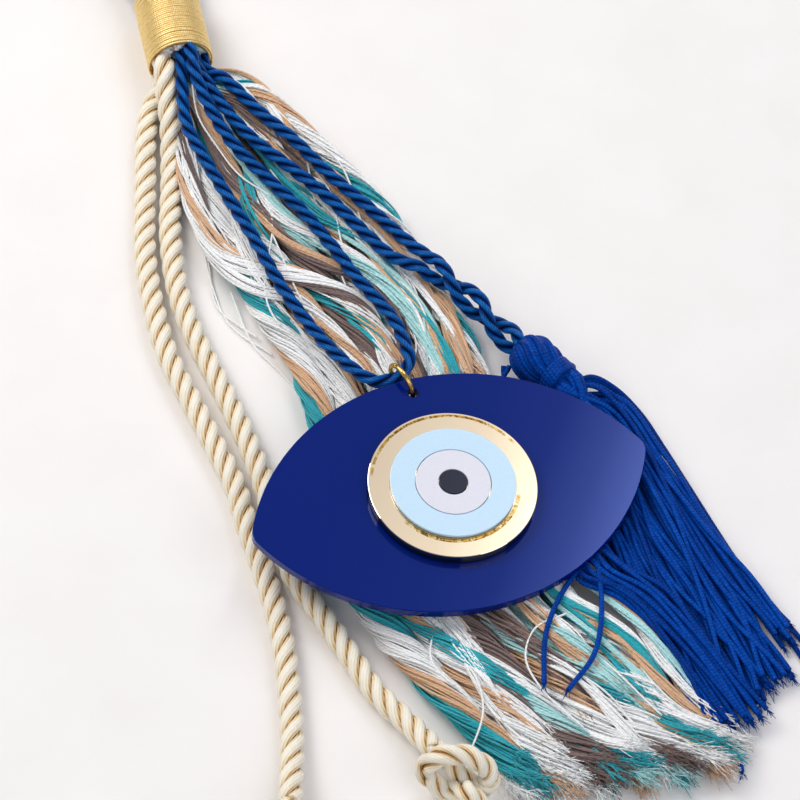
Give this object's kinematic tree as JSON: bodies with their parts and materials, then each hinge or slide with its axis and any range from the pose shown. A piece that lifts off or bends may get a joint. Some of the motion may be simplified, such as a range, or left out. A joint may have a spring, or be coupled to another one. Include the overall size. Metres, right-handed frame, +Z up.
{
  "type": "evil eye ornament",
  "caption": "Hanging charm: an acrylic eye plate on a cord, a blue tassel, twisted ropes and loose yarn, all gathered in a gold-thread collar under a hanging loop.",
  "frame": {"origin": "middle of the footprint without the free cords, on the surface that the ornament lies on", "axes": "+Z up from the table, +Y from the tassels towards the hanging loop, +X towards the blue tassel's side"},
  "size_m": [0.2138, 0.3698, 0.023],
  "materials": {
    "gold_thread": "wound metallised thread",
    "gold_metal": "plated, bright",
    "gold_mirror": "gold mirror under a clear face, polished",
    "cream_satin": "satin twisted rope",
    "blue_satin": "satin twisted cord",
    "tassel_viscose": "chain-knit viscose strands, slight sheen",
    "blue_acrylic": "polished",
    "light_blue_acrylic": "polished",
    "white_acrylic": "polished",
    "black_acrylic": "polished",
    "white_yarn": "loose cotton yarn",
    "tan_yarn": "loose cotton yarn",
    "brown_yarn": "loose cotton yarn",
    "aqua_yarn": "loose cotton yarn",
    "teal_yarn": "loose cotton yarn"
  },
  "bodies": {
    "bundle": {"wrap_collar": "gold_thread", "bundle_core": "white_yarn", "hanging_loop": "white_yarn", "yarn_lock_teal_left": "teal_yarn", "yarn_lock_white_left": "white_yarn", "yarn_lock_brown": "brown_yarn", "yarn_lock_white_right": "white_yarn", "yarn_lock_aqua": "aqua_yarn", "yarn_lock_tan_right": "tan_yarn", "cream_rope_left": "cream_satin", "cream_rope_right": "cream_satin", "cream_knot_left": "cream_satin", "cream_knot_right": "cream_satin", "cream_tail_left": "cream_satin", "cream_tail_right": "cream_satin", "pendant_cord": "blue_satin", "tassel_cord_left": "blue_satin", "tassel_cord_right": "blue_satin"},
    "ring": {"jump_ring": "gold_metal"},
    "pendant": {"eye_plate": "blue_acrylic", "gold_mirror_disc": "gold_mirror", "iris_ring": "light_blue_acrylic", "white_ring": "white_acrylic", "pupil_disc": "black_acrylic"},
    "tassel": {"tassel_head": "tassel_viscose", "tassel_neck_band": "tassel_viscose", "tassel_side_loop": "tassel_viscose", "tassel_skirt_1": "tassel_viscose", "tassel_skirt_2": "tassel_viscose", "tassel_skirt_3": "tassel_viscose", "tassel_skirt_4": "tassel_viscose", "tassel_skirt_5": "tassel_viscose"}
  },
  "joints": [
    {"name": "ring_swing", "type": "hinge", "parent": "bundle", "child": "ring", "pos_m": [-0.01056, -0.03453, 0.01618], "axis": [-0.8238, -0.5669, 0], "range_deg": [0, 60]},
    {"name": "plate_tilt", "type": "hinge", "parent": "ring", "child": "pendant", "pos_m": [-0.00914, -0.03659, 0.01618], "axis": [-0.8238, -0.5669, 0], "range_deg": [0, 25]},
    {"name": "tassel_swing", "type": "hinge", "parent": "bundle", "child": "tassel", "pos_m": [0.03133, -0.0228, 0.0079], "axis": [0, 0, 1], "range_deg": [0, 25]}
  ]
}
